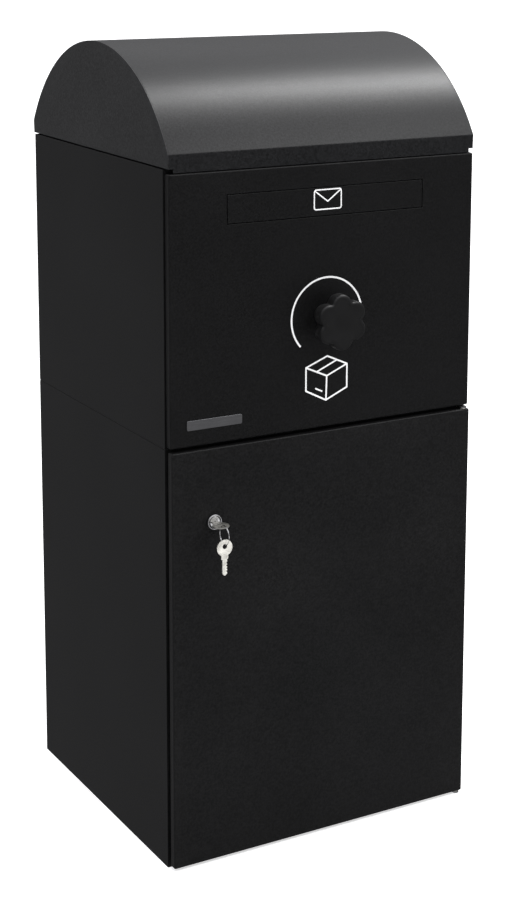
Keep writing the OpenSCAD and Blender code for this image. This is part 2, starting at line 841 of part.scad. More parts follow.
base_plate();
floor_mat();
lower_side_left();
lower_side_right();
lower_back();
lower_header();
door_seal();
door_pivots();
lock_strike();
upper_side_left();
upper_side_right();
upper_back();
upper_inner_wall();
module_bolts();
front_panel();
panel_standoffs();
panel_bush();
flap_pin();
flap_brackets();
letter_chute();
letter_deflector();
shaft_sleeve();
front_bearing();
rear_bearing();
drum_stops();
hopper_baffle_left();
hopper_baffle_right();
top_neck();
rim_seal();
hinge_brackets();
hinge_pins();
hinge_rivets();
hood_shell();
hood_cap_left();
hood_cap_right();
hood_frame();
hood_hinge_leaves();
letter_flap();
knob();
knob_shaft();
rear_shaft();
drum_hubs();
hub_rivets();
drum_end_front();
drum_end_rear();
drum_trough();
door_pan();
door_stiffener();
door_bushes();
lock_housing();
lock_nut();
lock_plug();
lock_cam();
cam_screw();
key();
key_ring();
spare_key();
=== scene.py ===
"""Looks of the parcel drop box: powder-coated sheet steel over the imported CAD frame.

Metres, in the CAD's own frame: x to the right seen from the front, the front faces -y, z up.
"""

import json
import math

import bmesh
import bpy
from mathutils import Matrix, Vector


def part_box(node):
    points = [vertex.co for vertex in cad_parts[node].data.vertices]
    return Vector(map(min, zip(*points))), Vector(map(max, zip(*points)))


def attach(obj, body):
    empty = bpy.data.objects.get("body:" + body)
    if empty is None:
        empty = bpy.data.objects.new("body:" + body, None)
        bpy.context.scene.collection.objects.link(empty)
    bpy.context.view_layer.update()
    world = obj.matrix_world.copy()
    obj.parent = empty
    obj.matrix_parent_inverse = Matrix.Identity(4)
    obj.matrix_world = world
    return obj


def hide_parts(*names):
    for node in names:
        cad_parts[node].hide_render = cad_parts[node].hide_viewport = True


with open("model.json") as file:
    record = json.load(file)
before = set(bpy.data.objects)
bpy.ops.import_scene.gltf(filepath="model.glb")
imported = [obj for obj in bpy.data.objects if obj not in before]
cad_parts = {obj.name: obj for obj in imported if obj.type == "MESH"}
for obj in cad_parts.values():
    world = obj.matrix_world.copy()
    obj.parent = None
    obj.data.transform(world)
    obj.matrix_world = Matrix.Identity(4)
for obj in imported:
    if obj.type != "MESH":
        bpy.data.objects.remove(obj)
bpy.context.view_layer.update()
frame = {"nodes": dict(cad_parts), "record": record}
NODES = frame["nodes"]
MM = 0.001
SHEET = 1.5 * MM
HOOD_SHEET = 2.0 * MM
SIDE_X = 250 * MM          # outer face of the side walls
SEAM_Z = 620 * MM          # joint between the lower and the upper module
SHAFT_Z = 784 * MM         # axis of the knob
LOCK_SHANK_R = 9.5 * MM    # the lock's hole in the door
TINY = 1e-6


# ---------- camera, floor, light ----------

CAMERA_AT = (-1.353, -2.5152, 1.3674)
CAMERA_TURN = (80.0475, -0.5088, -31.1567)    # degrees about x, y and z
WORLD_STRENGTH = 1.94
DOME_STOPS = ((0.0, 0.12), (0.2, 0.14), (0.45, 0.30), (0.7, 0.72), (1.0, 0.9))


def make_camera():
    data = bpy.data.cameras.new("camera")
    data.sensor_fit = "AUTO"
    data.sensor_width = 36
    data.lens = 75.674
    data.shift_x = -0.09945
    data.shift_y = -0.24033
    data.clip_end = 100
    obj = bpy.data.objects.new("camera", data)
    obj.location = CAMERA_AT
    obj.rotation_euler = [math.radians(angle) for angle in CAMERA_TURN]
    bpy.context.scene.collection.objects.link(obj)
    bpy.context.scene.camera = obj


def area_light(name, at, target, size_x, size_y, watts):
    data = bpy.data.lights.new(name, "AREA")
    data.shape = "RECTANGLE"
    data.size = size_x
    data.size_y = size_y
    data.energy = watts
    obj = bpy.data.objects.new(name, data)
    obj.location = at
    obj.rotation_euler = (Vector(target) - Vector(at)).to_track_quat("-Z", "Y").to_euler()
    bpy.context.scene.collection.objects.link(obj)
    return obj


def make_world():
    """A studio dome: dim near and under the horizon, bright from 30 degrees up, white behind."""
    world = bpy.data.worlds.new("studio")
    world.use_nodes = True
    tree = world.node_tree
    tree.nodes.clear()
    coord = tree.nodes.new("ShaderNodeTexCoord")
    split = tree.nodes.new("ShaderNodeSeparateXYZ")
    ramp = tree.nodes.new("ShaderNodeValToRGB")
    dome = tree.nodes.new("ShaderNodeBackground")
    white = tree.nodes.new("ShaderNodeBackground")
    path = tree.nodes.new("ShaderNodeLightPath")
    mix = tree.nodes.new("ShaderNodeMixShader")
    out = tree.nodes.new("ShaderNodeOutputWorld")
    elements = ramp.color_ramp.elements
    while len(elements) < len(DOME_STOPS):
        elements.new(0.5)
    for element, (where, level) in zip(elements, DOME_STOPS):
        element.position = where
        element.color = (level, level, level * 1.02, 1)
    dome.inputs["Strength"].default_value = WORLD_STRENGTH
    white.inputs["Color"].default_value = (1, 1, 1, 1)
    link = tree.links.new
    link(coord.outputs["Generated"], split.inputs[0])
    link(split.outputs["Z"], ramp.inputs[0])
    link(ramp.outputs["Color"], dome.inputs["Color"])
    link(path.outputs["Is Camera Ray"], mix.inputs[0])
    link(dome.outputs[0], mix.inputs[1])
    link(white.outputs[0], mix.inputs[2])
    link(mix.outputs[0], out.inputs[0])
    bpy.context.scene.world = world


def make_lights():
    """A strip overhead for the hood's streak, a fill in front, and a card that lights only the
    lock, the ring and the spare key."""
    area_light("softbox", (1.70, 0.03, 3.6), (0, 0, 1.1), 0.30, 1.6, 74)
    area_light("front_fill", (1.6, -2.0, 3.1), (0, 0, 1.0), 1.5, 1.0, 22)
    card = area_light("key_card", (0.10, -1.25, 0.28), (-0.184, -0.274, 0.49), 0.9, 0.6, 2.6)
    card.visible_camera = False
    lit = bpy.data.collections.new("key_card_lights_these")
    for name in ("spare_key_look", "key_ring_look", "lock_housing_look", "lock_plug_look"):
        lit.objects.link(bpy.data.objects[name])
    card.light_linking.receiver_collection = lit


def make_floor():
    half = 40.0
    bm = bmesh.new()
    corners = ((-half, -half), (half, -half), (half, half), (-half, half))
    bm.faces.new([bm.verts.new((x, y, 0)) for x, y in corners])
    floor = mesh_object("floor", bm, floor_material())
    floor.visible_glossy = False


# ---------- materials ----------

class Shader:
    """A Principled material and short calls for the nodes that feed it."""

    def __init__(self, name, **constants):
        self.material = bpy.data.materials.new(name)
        self.material.use_nodes = True
        self.tree = self.material.node_tree
        self.tree.nodes.clear()
        out = self.node("ShaderNodeOutputMaterial")
        self.bsdf = self.node("ShaderNodeBsdfPrincipled")
        self.link(self.bsdf.outputs[0], out.inputs[0])
        self.place = self.node("ShaderNodeTexCoord").outputs["Object"]
        for key, value in constants.items():
            self.bsdf.inputs[key.replace("_", " ")].default_value = value

    def node(self, kind):
        return self.tree.nodes.new(kind)

    def link(self, a, b):
        self.tree.links.new(a, b)

    def stretched(self, x, y, z):
        mapping = self.node("ShaderNodeMapping")
        mapping.inputs["Scale"].default_value = (x, y, z)
        self.link(self.place, mapping.inputs[0])
        return mapping.outputs[0]

    def noise(self, scale, detail=2.0, place=None, rough=0.5):
        n = self.node("ShaderNodeTexNoise")
        n.inputs["Scale"].default_value = scale
        n.inputs["Detail"].default_value = detail
        n.inputs["Roughness"].default_value = rough
        self.link(place or self.place, n.inputs["Vector"])
        return n.outputs["Fac"]

    def cells(self, scale):
        n = self.node("ShaderNodeTexVoronoi")
        n.inputs["Scale"].default_value = scale
        self.link(self.place, n.inputs["Vector"])
        return n

    def ramp(self, fac, *stops):
        n = self.node("ShaderNodeValToRGB")
        elements = n.color_ramp.elements
        while len(elements) < len(stops):
            elements.new(0.5)
        for element, (where, color) in zip(elements, stops):
            element.position = where
            element.color = (*color, 1)
        self.link(fac, n.inputs[0])
        return n.outputs["Color"]

    def span(self, fac, low, high, out_low, out_high):
        n = self.node("ShaderNodeMapRange")
        for key, value in zip(("From Min", "From Max", "To Min", "To Max"),
                              (low, high, out_low, out_high)):
            n.inputs[key].default_value = value
        self.link(fac, n.inputs["Value"])
        return n.outputs[0]

    def mix(self, fac, a, b, kind="MIX"):
        n = self.node("ShaderNodeMix")
        n.data_type = "RGBA"
        n.blend_type = kind
        self.link(fac, n.inputs[0])
        self.link(a, n.inputs[6])
        self.link(b, n.inputs[7])
        return n.outputs[2]

    def bump(self, *layers):
        """Layers are (height, strength, distance in metres), the coarsest first."""
        normal = None
        for height, strength, distance in layers:
            n = self.node("ShaderNodeBump")
            n.inputs["Strength"].default_value = strength
            n.inputs["Distance"].default_value = distance
            self.link(height, n.inputs["Height"])
            if normal is not None:
                self.link(normal, n.inputs["Normal"])
            normal = n.outputs[0]
        self.link(normal, self.bsdf.inputs["Normal"])

    def color(self, socket):
        self.link(socket, self.bsdf.inputs["Base Color"])

    def rough(self, socket):
        self.link(socket, self.bsdf.inputs["Roughness"])


def scaled(color, k):
    return tuple(c * k for c in color)


def powder_coat(name, tone, spec, rough):
    """Fine-texture powder coat: pebbles about 0.8 mm across and specks of 2 to 3 mm."""
    s = Shader(name, Specular_IOR_Level=spec)
    pebble = s.noise(1300, 3)
    fleck = s.noise(380, 4, rough=0.65)
    cloud = s.noise(5, 3)
    dark = s.ramp(fleck, (0.36, scaled(tone, 0.45)), (0.66, scaled(tone, 1.5)))
    light = s.ramp(fleck, (0.36, scaled(tone, 0.65)), (0.66, scaled(tone, 1.8)))
    s.color(s.mix(s.span(cloud, 0.35, 0.65, 0.0, 1.0), dark, light))
    s.rough(s.span(s.noise(420, 3), 0.3, 0.7, rough - 0.04, rough + 0.04))
    s.bump((s.noise(7, 2), 0.05, 0.001), (s.noise(420, 2), 0.45, 0.00015),
           (pebble, 0.4, 0.00008))
    return s.material


def galvanised(name, tone, rough):
    """Hot-dip sheet: spangles a centimetre across with soft borders, under fine rolling lines."""
    s = Shader(name, Metallic=1.0)
    spangle = s.cells(95)
    split = s.node("ShaderNodeSeparateColor")
    s.link(spangle.outputs["Color"], split.inputs[0])
    grain = s.noise(240, 4, s.stretched(1, 1, 0.06))
    plate = s.ramp(split.outputs[0], (0.0, scaled(tone, 0.82)), (1.0, scaled(tone, 1.12)))
    line = s.ramp(grain, (0.3, scaled(tone, 0.9)), (0.7, scaled(tone, 1.06)))
    s.color(s.mix(s.span(s.noise(30, 3), 0.3, 0.7, 0.25, 0.75), plate, line))
    s.rough(s.span(split.outputs[1], 0.0, 1.0, rough - 0.07, rough + 0.07))
    s.bump((s.noise(9, 2), 0.2, 0.001), (grain, 0.12, 0.00006))
    return s.material


def bare_metal(name, tone, rough, stretch=(1, 1, 1), spread=0.12):
    """Plated or drawn metal with directional hairlines, small dull patches and handling marks."""
    s = Shader(name, Metallic=1.0)
    hair = s.noise(900, 3, s.stretched(*stretch))
    patch = s.noise(120, 4)
    fine = s.ramp(hair, (0.3, scaled(tone, 1 - spread)), (0.7, scaled(tone, 1 + spread * 0.4)))
    dull = s.ramp(hair, (0.3, scaled(tone, 0.86 - spread)), (0.7, scaled(tone, 0.94)))
    s.color(s.mix(s.span(patch, 0.42, 0.72, 0.0, 1.0), fine, dull))
    s.rough(s.span(patch, 0.3, 0.75, rough * 0.8, rough * 1.35))
    s.bump((patch, 0.08, 0.0002), (hair, 0.1, 0.00003))
    return s.material


def moulded(name, tone, spec, rough, grain=1500, strength=0.35):
    """Moulded plastic with a spark-eroded grain and slight flow marks."""
    s = Shader(name, Specular_IOR_Level=spec)
    pit = s.cells(grain)
    flow = s.noise(45, 3)
    low = s.ramp(flow, (0.35, scaled(tone, 0.85)), (0.7, scaled(tone, 1.1)))
    high = s.ramp(flow, (0.35, scaled(tone, 1.05)), (0.7, scaled(tone, 1.35)))
    s.color(s.mix(s.span(pit.outputs["Distance"], 0.1, 0.6, 0.0, 1.0), low, high))
    s.rough(s.span(flow, 0.3, 0.7, rough - 0.05, rough + 0.05))
    s.bump((flow, 0.12, 0.0004), (pit.outputs["Distance"], strength, 0.00009))
    return s.material


def rubber(name, tone, rough):
    s = Shader(name, Specular_IOR_Level=0.3)
    pore = s.noise(800, 4, rough=0.7)
    dust = s.noise(14, 5)
    clean = s.ramp(pore, (0.3, scaled(tone, 0.8)), (0.75, scaled(tone, 1.2)))
    dusty = s.ramp(pore, (0.3, scaled(tone, 1.3)), (0.75, scaled(tone, 2.4)))
    s.color(s.mix(s.span(dust, 0.45, 0.75, 0.0, 0.6), clean, dusty))
    s.rough(s.span(pore, 0.2, 0.8, rough - 0.08, rough + 0.08))
    s.bump((dust, 0.1, 0.0005), (pore, 0.4, 0.0001))
    return s.material


def print_ink(name, tone):
    """Screen-printed white ink, a little thin where the powder coat's pebbles stand up."""
    s = Shader(name, Specular_IOR_Level=0.35)
    pebble = s.noise(1300, 3)
    s.color(s.ramp(pebble, (0.2, scaled(tone, 0.86)), (0.5, tone), (0.9, scaled(tone, 1.04))))
    s.rough(s.span(s.noise(90, 3), 0.3, 0.7, 0.42, 0.58))
    s.bump((pebble, 0.2, 0.00006))
    return s.material


def floor_material():
    s = Shader("studio_floor", Specular_IOR_Level=0.1, Emission_Color=(1, 1, 1, 1),
               Emission_Strength=0.55)
    cloud = s.noise(0.8, 3)
    s.color(s.ramp(cloud, (0.3, (0.86, 0.86, 0.86)), (0.7, (0.9, 0.9, 0.9))))
    s.rough(s.span(cloud, 0.3, 0.7, 0.7, 0.8))
    s.bump((s.noise(300, 2), 0.05, 0.0002))
    return s.material


PAINT = (0.0044, 0.0044, 0.0046)
# The door's paint is a lighter copy of the front panel's black: painted light, which draws the
# door brighter than the same coat on the panel.
DOOR_PAINT_PAINTED_LIGHT = (0.0062, 0.0062, 0.0064)
HOOD_PAINT = (0.0082, 0.0084, 0.0090)
# The end caps' paint is a lighter copy of the hood's paint: painted light, standing in for the
# light that falls on the ends of the hood.
CAP_PAINT_PAINTED_LIGHT = (0.0150, 0.0152, 0.0158)

MATERIALS = {
    "body_black": powder_coat("paint_body", PAINT, 0.2, 0.45),
    "front_black": powder_coat("paint_front", PAINT, 0.2, 0.45),
    # The door's material is the lighter copy of the panel's black: painted light.
    "door_black": powder_coat("paint_door_painted_light", DOOR_PAINT_PAINTED_LIGHT, 0.2, 0.45),
    "hood_black": powder_coat("paint_hood", HOOD_PAINT, 0.2, 0.35),
    "floor_rubber": rubber("rubber_mat", (0.012, 0.012, 0.012), 0.72),
    "seal_rubber": rubber("rubber_seal", (0.009, 0.009, 0.009), 0.8),
    "zinc_steel": galvanised("zinc_plated", (0.50, 0.51, 0.53), 0.42),
    "drum_steel": galvanised("galvanised_drum", (0.46, 0.47, 0.49), 0.40),
    "bright_steel": bare_metal("bright_zinc", (0.56, 0.56, 0.57), 0.28, (1, 0.1, 1)),
    "bush_nylon": moulded("nylon", (0.62, 0.60, 0.54), 0.4, 0.45, 600, 0.1),
    "knob_black": moulded("knob_plastic", (0.0048, 0.0048, 0.0050), 0.3, 0.46),
    "lock_chrome": bare_metal("chrome", (0.42, 0.42, 0.43), 0.2, (1, 1, 1), 0.06),
    "ring_steel": bare_metal("ring_wire", (0.58, 0.58, 0.58), 0.2, (1, 1, 1), 0.08),
    "key_nickel": bare_metal("key_nickel", (0.80, 0.785, 0.73), 0.42, (1, 1, 0.08), 0.1),
}
# Lighter copy of the hood's paint for the end caps: painted light on the same coat.
CAP_BLACK_PAINTED_LIGHT = powder_coat("paint_hood_cap_painted_light", CAP_PAINT_PAINTED_LIGHT, 0.2, 0.42)
INK = print_ink("print_white", (0.82, 0.82, 0.82))
BADGE = bare_metal("badge_satin", (0.30, 0.30, 0.31), 0.42, (0.05, 1, 1), 0.12)


def paint_cad_nodes():
    """Every CAD node that stays shown gets the detailed material of its record slot."""
    slot_of = {part["node"]: part["material_slot"] for part in frame["record"]["subparts"]}
    for name, obj in NODES.items():
        slot_name = slot_of[name]
        obj.data.materials.clear()
        obj.data.materials.append(MATERIALS[slot_name])


# ---------- mesh helpers ----------

def mesh_object(name, bm, material):
    mesh = bpy.data.meshes.new(name)
    bmesh.ops.recalc_face_normals(bm, faces=bm.faces)
    bm.to_mesh(mesh)
    bm.free()
    mesh.materials.append(material)
    obj = bpy.data.objects.new(name, mesh)
    bpy.context.scene.collection.objects.link(obj)
    return obj


def bake_modifiers(obj):
    bpy.context.view_layer.update()
    evaluated = obj.evaluated_get(bpy.context.evaluated_depsgraph_get())
    mesh = bpy.data.meshes.new_from_object(evaluated)
    obj.modifiers.clear()
    old, obj.data = obj.data, mesh
    bpy.data.meshes.remove(old)


def edge_bevel(obj, width, segments=2, angle=35):
    mod = obj.modifiers.new("edges", "BEVEL")
    mod.width = width
    mod.segments = segments
    mod.limit_method = "ANGLE"
    mod.angle_limit = math.radians(angle)
    mod.use_clamp_overlap = False


def shade(obj, angle=32):
    """Smooth shading with sharp creases above the angle, and flats that stay flat."""
    for face in obj.data.polygons:
        face.use_smooth = True
    obj.data.set_sharp_from_angle(angle=math.radians(angle))
    mod = obj.modifiers.new("normals", "WEIGHTED_NORMAL")
    mod.keep_sharp = True
    bake_modifiers(obj)


def cut(obj, cutter):
    mod = obj.modifiers.new("cut", "BOOLEAN")
    mod.operation = "DIFFERENCE"
    mod.solver = "EXACT"
    mod.object = cutter


def join_solid(obj, other):
    mod = obj.modifiers.new("join", "BOOLEAN")
    mod.operation = "UNION"
    mod.solver = "EXACT"
    mod.object = other


def discard(*objs):
    for obj in objs:
        mesh = obj.data
        bpy.data.objects.remove(obj)
        bpy.data.meshes.remove(mesh)


def settle(obj, body, slot_name, *nodes):
    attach(obj, body)
    if nodes:
        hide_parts(*nodes)


def add_box(bm, x0, x1, y0, y1, z0, z1):
    verts = [bm.verts.new((x, y, z)) for x in (x0, x1) for y in (y0, y1) for z in (z0, z1)]
    for face in ((0, 1, 3, 2), (4, 6, 7, 5), (0, 4, 5, 1), (2, 3, 7, 6), (0, 2, 6, 4),
                 (1, 5, 7, 3)):
        bm.faces.new([verts[i] for i in face])


def block(name, x0, x1, y0, y1, z0, z1):
    bm = bmesh.new()
    add_box(bm, x0, x1, y0, y1, z0, z1)
    return mesh_object(name, bm, INK)


def circle_at(x, z, radius, y, sides=96):
    """Points of a circle about the y line through (x, z)."""
    turns = [2 * math.pi * i / sides for i in range(sides)]
    return [(x + radius * math.cos(a), y, z + radius * math.sin(a)) for a in turns]


def disc_cutter(name, x, z, y0, y1, radius):
    bm = bmesh.new()
    extrude_outline(bm, [(px, pz) for px, _, pz in circle_at(x, z, radius, y0)], y0, y1)
    return mesh_object(name, bm, INK)


def extrude_outline(bm, outline, y0, y1):
    """A prism along y from (x, z) points."""
    front = [bm.verts.new((x, y0, z)) for x, z in outline]
    back = [bm.verts.new((x, y1, z)) for x, z in outline]
    bm.faces.new(front)
    bm.faces.new(list(reversed(back)))
    n = len(outline)
    for i in range(n):
        j = (i + 1) % n
        bm.faces.new((front[j], front[i], back[i], back[j]))


def softened(node, width, slot_name, body, fold=None, fold_width=0.0):
    """The CAD node's own mesh with its sharp edges eased. fold is a test, on an edge's two ends,
    for the edges that get the wider fold_width."""
    bm = bmesh.new()
    bm.from_mesh(NODES[node].data)
    bmesh.ops.remove_doubles(bm, verts=bm.verts, dist=2e-6)
    bmesh.ops.dissolve_limit(bm, angle_limit=math.radians(0.6), verts=bm.verts, edges=bm.edges)
    if fold:
        chosen = [e for e in bm.edges if fold(e.verts[0].co, e.verts[1].co)]
        bmesh.ops.bevel(bm, geom=chosen, offset=fold_width, segments=3, profile=0.5,
                        affect="EDGES", clamp_overlap=False)
    obj = mesh_object(node + "_look", bm, MATERIALS[slot_name])
    edge_bevel(obj, width)
    bake_modifiers(obj)
    shade(obj)
    settle(obj, body, slot_name, node)


# ---------- sheet-metal pans ----------

def folded_pan(name, node, body, slot_name, radius, cutters, deeper=0.0):
    """The front panel or the door: one flat face, four folded returns, rounded folds. The
    returns end deeper behind the node's own rear edge."""
    lo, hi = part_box(node)
    bm = bmesh.new()
    back = hi.y + deeper
    add_box(bm, lo.x, hi.x, lo.y, back, lo.z, hi.z)
    rear = [f for f in bm.faces if all(abs(v.co.y - back) < TINY for v in f.verts)]
    bmesh.ops.delete(bm, geom=rear, context="FACES")
    front = [e for e in bm.edges if all(abs(v.co.y - lo.y) < TINY for v in e.verts)]
    corners = [e for e in bm.edges if abs(e.verts[0].co.y - e.verts[1].co.y) > 1e-4]
    bmesh.ops.bevel(bm, geom=front + corners, offset=radius, segments=5, profile=0.5,
                    affect="EDGES")
    obj = mesh_object(name, bm, MATERIALS[slot_name])
    skin = obj.modifiers.new("skin", "SOLIDIFY")
    skin.thickness = SHEET
    skin.offset = -1
    skin.use_even_offset = True
    bake_modifiers(obj)
    for cutter in cutters:
        cut(obj, cutter)
    edge_bevel(obj, 0.6 * MM, 2, 50)
    bake_modifiers(obj)
    discard(*cutters)
    shade(obj, 40)
    settle(obj, body, slot_name, node)


def make_pans():
    """The panel is cut out for the letter flap and the knob's shaft, the door for the lock."""
    through = 5 * MM
    flap_gap = 1 * MM
    panel_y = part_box("front_panel")[0].y
    flap_lo, flap_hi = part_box("letter_flap")
    slot_cut = block("slot_cut", flap_lo.x - flap_gap, flap_hi.x + flap_gap, panel_y - through,
                     panel_y + through, flap_lo.z - flap_gap, flap_hi.z + flap_gap)
    shaft_cut = disc_cutter("shaft_cut", 0, SHAFT_Z, panel_y - through, panel_y + through,
                            12 * MM)
    folded_pan("front_panel_look", "front_panel", "cabinet", "front_black", 2.8 * MM,
               [slot_cut, shaft_cut], deeper=1.2 * MM)
    door_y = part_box("door_pan")[0].y
    lock_lo, lock_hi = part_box("lock_housing")
    lock_cut = disc_cutter("lock_cut", (lock_lo.x + lock_hi.x) / 2, (lock_lo.z + lock_hi.z) / 2,
                           door_y - through, door_y + through, LOCK_SHANK_R)
    folded_pan("door_look", "door_pan", "door", "door_black", 2.5 * MM, [lock_cut])


def make_side_walls():
    """The four side walls, with the edges along the seam between the modules eased more."""
    def seam(a, b):
        return all(abs(abs(p.x) - SIDE_X) < TINY and abs(p.z - SEAM_Z) < TINY for p in (a, b))

    for node in ("lower_side_left", "lower_side_right", "upper_side_left", "upper_side_right"):
        softened(node, 0.3 * MM, "body_black", "cabinet", fold=seam, fold_width=1.5 * MM)


# ---------- hood ----------

FLANGE = 19.5 * MM          # straight part under the vault
FLANGE_BEND = 6 * MM
LIP_CLIP = 6.5 * MM         # the front lip stops this far from each end


def arc_points(cy, cz, r, a0, a1, n):
    return [(cy + r * math.cos(a0 + (a1 - a0) * i / n), cz + r * math.sin(a0 + (a1 - a0) * i / n))
            for i in range(n + 1)]


def hood_outline():
    """The outer (y, z) line from the front lip over the vault to the rear lip."""
    lo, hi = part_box("hood_cap_left")
    bend = FLANGE_BEND
    half = (hi.y - lo.y) / 2
    cy = (hi.y + lo.y) / 2
    rise = hi.z - lo.z - FLANGE
    r = (half * half + rise * rise) / (2 * rise)
    cz = hi.z - r
    bend_z = cz + math.sqrt((r - bend) ** 2 - (half - bend) ** 2)
    lean = math.atan2(bend_z - cz, half - bend)
    front = [(lo.y, lo.z)] + arc_points(lo.y + bend, bend_z, bend, math.pi, math.pi - lean, 6)
    vault = arc_points(cy, cz, r, math.pi - lean, lean, 96)
    rear = arc_points(hi.y - bend, bend_z, bend, lean, 0, 6) + [(hi.y, lo.z)]
    return front + vault[1:-1] + rear


def make_hood():
    outline = hood_outline()
    make_hood_shell(outline)
    for side in ("left", "right"):
        make_hood_cap(side, outline)


def make_hood_shell(outline):
    """The curved sheet, open below, with its front lip."""
    slot_name = "hood_black"
    lo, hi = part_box("hood_shell")
    bm = bmesh.new()
    left = [bm.verts.new((lo.x, y, z)) for y, z in outline]
    right = [bm.verts.new((hi.x, y, z)) for y, z in outline]
    flange_z = outline[0][1]
    notched = (lo.x + LIP_CLIP, hi.x - LIP_CLIP)
    root = [bm.verts.new((x, lo.y, flange_z)) for x in notched]
    lip = [bm.verts.new((x, lo.y, lo.z)) for x in notched]
    bm.faces.new((lip[0], lip[1], root[1], root[0]))
    bm.faces.new((left[0], root[0], root[1], right[0], right[1], left[1]))
    for i in range(1, len(outline) - 1):
        bm.faces.new((left[i], right[i], right[i + 1], left[i + 1]))
    shell = mesh_object("hood_shell_look", bm, MATERIALS[slot_name])
    centre = Vector((0, (lo.y + hi.y) / 2, lo.z))
    if sum((f.center - centre).dot(f.normal) for f in shell.data.polygons) < 0:
        shell.data.flip_normals()
    skin = shell.modifiers.new("skin", "SOLIDIFY")
    skin.thickness = HOOD_SHEET
    skin.offset = -1
    skin.use_even_offset = True
    edge_bevel(shell, 0.35 * MM, 2, 60)
    bake_modifiers(shell)
    shade(shell, 40)
    settle(shell, "hood", slot_name, "hood_shell")


def make_hood_cap(side, outline):
    """An end plate with a rounded outer rim."""
    node = "hood_cap_" + side
    lo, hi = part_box(node)
    bm = bmesh.new()
    near = [bm.verts.new((lo.x, y, z)) for y, z in outline]
    far = [bm.verts.new((hi.x, y, z)) for y, z in outline]
    bm.faces.new(near)
    bm.faces.new(list(reversed(far)))
    for i in range(len(outline)):
        j = (i + 1) % len(outline)
        bm.faces.new((near[i], far[i], far[j], near[j]))
    outer_x = lo.x if side == "left" else hi.x
    rim = [e for e in bm.edges if all(abs(v.co.x - outer_x) < TINY for v in e.verts)]
    bmesh.ops.bevel(bm, geom=rim, offset=1.1 * MM, segments=4, profile=0.5, affect="EDGES",
                    clamp_overlap=False)
    # The cap wears the lighter copy of the hood's paint: painted light on the end plate.
    cap = mesh_object(node + "_look", bm, CAP_BLACK_PAINTED_LIGHT)
    shade(cap, 40)
    settle(cap, "hood", "hood_black", node)


# ---------- knob ----------

KNOB_R = 40.5 * MM
KNOB_MEAN_R = 35 * MM
KNOB_CORE_R = 32.5 * MM
LOBES = 6
LOBE_R = 16 * MM
LOBE_TURN = math.radians(32)
ROUND_FROM = 6.5            # further in than this the face's rings turn from lobed to round
# Rows of (distance in from the outline, distance behind the face's rim), in millimetres: the
# dished face, the rim, the side and the back of the head
KNOB_HEAD = (
    (31.0, 2.2), (26.0, 2.08), (20.0, 1.65), (14.0, 1.0), (9.0, 0.4), (6.2, 0.08),
    (4.8, 0.0), (3.3, 0.12), (2.0, 0.6), (1.0, 1.4), (0.35, 2.5), (0.0, 4.2),
    (0.0, 9.0), (0.0, 13.5), (0.5, 16.6), (1.5, 19.4), (3.0, 22.0), (4.8, 24.2), (6.5, 25.0))
# Rows of (radius, distance behind the face's rim) for the round hub
KNOB_HUB = ((24.0, 25.4), (20.5, 26.6), (19.2, 28.6), (18.9, 33.0), (18.9, 43.2), (18.4, 44.0))


def lobed_outline(radius, lobes, lobe_r, core, turn, samples=480):
    """A star-grip outline: discs round a core, with the valleys filled by small fillets."""
    raw = []
    for i in range(samples):
        a = 2 * math.pi * i / samples
        best = core
        for k in range(lobes):
            d = a - (2 * math.pi * k / lobes + turn)
            c = radius - lobe_r
            reach = lobe_r ** 2 - (c * math.sin(d)) ** 2
            if reach > 0 and math.cos(d) > 0:
                best = max(best, c * math.cos(d) + math.sqrt(reach))
        raw.append(best)
    for _ in range(3):
        raw = [(raw[i - 2] + 2 * raw[i - 1] + 3 * raw[i] + 2 * raw[(i + 1) % samples]
                + raw[(i + 2) % samples]) / 9 for i in range(samples)]
    top = max(raw)
    return [(r * radius / top * math.cos(2 * math.pi * i / samples),
             r * radius / top * math.sin(2 * math.pi * i / samples))
            for i, r in enumerate(raw)]


def inset_outline(points, depth):
    n = len(points)
    out = []
    for i, (x, z) in enumerate(points):
        (x0, z0), (x1, z1) = points[i - 1], points[(i + 1) % n]
        tx, tz = x1 - x0, z1 - z0
        length = math.hypot(tx, tz)
        out.append((x - tz / length * depth, z + tx / length * depth))
    return out


def loft(bm, rings):
    """Quads between rings of (x, y, z) points, all with the same count."""
    rows = [[bm.verts.new(p) for p in ring] for ring in rings]
    n = len(rows[0])
    for a, b in zip(rows, rows[1:]):
        for i in range(n):
            j = (i + 1) % n
            bm.faces.new((a[i], a[j], b[j], b[i]))
    return rows


def knob_face_ring(outline, inset):
    """The outline shrunk towards the middle, rounder the further in it is."""
    soft = min(1.0, (inset - ROUND_FROM) / 10)
    shrink = 1 - inset * MM / KNOB_R
    ring = []
    for x, z in outline:
        r = math.hypot(x, z)
        k = (r * (1 - soft) + KNOB_MEAN_R * soft) * shrink / r
        ring.append((x * k, z * k))
    return ring


def make_knob():
    lo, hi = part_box("knob")
    cx, cz = (lo.x + hi.x) / 2, (lo.z + hi.z) / 2
    outline = lobed_outline(KNOB_R, LOBES, LOBE_R, KNOB_CORE_R, LOBE_TURN)
    rings = []
    for inset, depth in KNOB_HEAD:
        if inset <= ROUND_FROM:
            ring = inset_outline(outline, inset * MM)
        else:
            ring = knob_face_ring(outline, inset)
        rings.append([(cx + x, lo.y + depth * MM, cz + z) for x, z in ring])
    for radius, depth in KNOB_HUB:
        scales = [radius * MM / math.hypot(x, z) for x, z in outline]
        rings.append([(cx + x * k, lo.y + depth * MM, cz + z * k)
                      for (x, z), k in zip(outline, scales)])
    bm = bmesh.new()
    rows = loft(bm, rings)
    bm.faces.new(list(reversed(rows[0])))
    bm.faces.new(rows[-1])
    knob = mesh_object("knob_look", bm, MATERIALS["knob_black"])
    shade(knob, 50)
    settle(knob, "drum", "knob_black", "knob")


# ---------- lock and keys ----------

LOCK_HEAD_R = 11.4 * MM
PLUG_R = 8.5 * MM
# Rows of (radius, distance behind the face) in millimetres: the plug's raised rim
PLUG_RIM = ((7.2, 0.55), (7.7, 0.12), (8.1, 0.0), (8.4, 0.2), (8.5, 0.55))


